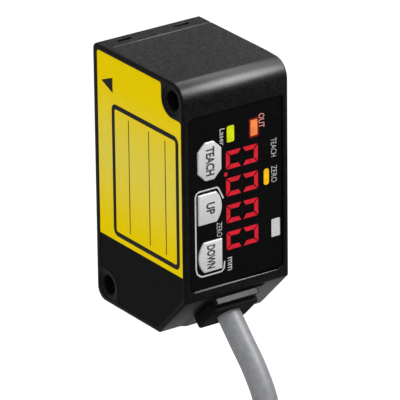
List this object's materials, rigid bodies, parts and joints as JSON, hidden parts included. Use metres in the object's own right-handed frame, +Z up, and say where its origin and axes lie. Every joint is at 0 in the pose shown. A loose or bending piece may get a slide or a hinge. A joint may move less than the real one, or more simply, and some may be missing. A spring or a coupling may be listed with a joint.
{
  "type": "laser displacement sensor",
  "caption": "Compact laser displacement sensor with a digital display, press keys, cross mounting holes, an optical front window and a coiled grey cable with bared leads.",
  "frame": {"origin": "midway between the two mounting holes, on the plain mounting side", "axes": "+Z up along the body's height, +Y the way the laser beam leaves, +X out of the mounting side, towards what the sensor is bolted to"},
  "size_m": [0.0214, 0.0701, 0.1441],
  "materials": {
    "body": "die-cast body, matte black textured paint",
    "cover": "moulded front cover, fine matte grain",
    "rubber": "black elastomer",
    "window": "dark red filter window",
    "label": "printed film, yellow over black",
    "panel": "glossy black display sheet",
    "dark_plastic": "dark moulded plastic",
    "red_light": "lit red digit bars",
    "green_light": "lit green lamp",
    "orange_light": "lit orange lamp",
    "amber_light": "lit amber lamp",
    "keys": "light grey keys",
    "pale_plastic": "pale connector plastic",
    "boards": "green solder mask",
    "screws": "plated steel and tin",
    "chassis": "black anodised optical base",
    "brass": "turned brass and gilt",
    "lenses": "clear optical glass",
    "mirror": "front-silvered mirror",
    "wire_sleeves": "coloured core sleeves",
    "cable_jacket": "grey PVC jacket"
  },
  "bodies": {
    "sensor": {"case": "body", "front_cover": "cover", "front_gasket": "rubber", "front_window": "window", "side_label": "label", "display_panel": "panel", "digit_display": "dark_plastic", "lit_segments": "red_light", "dark_segments": "dark_plastic", "laser_lamp": "green_light", "output_lamp": "orange_light", "teach_lamp": "dark_plastic", "zero_lamp": "amber_light", "mode_lamp": "dark_plastic", "lamp_chips": "pale_plastic", "key_switches": "dark_plastic", "display_board": "boards", "display_screws": "screws", "board_socket": "pale_plastic", "main_board": "boards", "board_chips": "dark_plastic", "main_screws": "screws", "chassis": "chassis", "chassis_screws": "screws", "laser_holder": "brass", "laser_diode": "brass", "collimator_lens": "lenses", "receiver_lens": "lenses", "lens_ring": "dark_plastic", "fold_mirror": "mirror", "sensor_board": "boards", "image_sensor": "dark_plastic", "core_connector": "pale_plastic", "cable_cores": "wire_sleeves", "cable_clamp": "screws", "cable_gland": "rubber", "cable": "cable_jacket", "cable_coil": "cable_jacket", "cable_tail": "cable_jacket", "cable_ties": "dark_plastic", "lead_wires": "wire_sleeves", "lead_tips": "screws"},
    "teach_button": {"teach_key": "keys", "teach_plunger": "dark_plastic"},
    "up_button": {"up_key": "keys", "up_plunger": "dark_plastic"},
    "down_button": {"down_key": "keys", "down_plunger": "dark_plastic"}
  },
  "joints": [
    {"name": "teach_press", "type": "slide", "parent": "sensor", "child": "teach_button", "axis": [0, 1, 0], "range_m": [0, 0.00025], "stiffness_N_per_m": 4000},
    {"name": "up_press", "type": "slide", "parent": "sensor", "child": "up_button", "axis": [0, 1, 0], "range_m": [0, 0.00025], "stiffness_N_per_m": 4000},
    {"name": "down_press", "type": "slide", "parent": "sensor", "child": "down_button", "axis": [0, 1, 0], "range_m": [0, 0.00025], "stiffness_N_per_m": 4000}
  ]
}
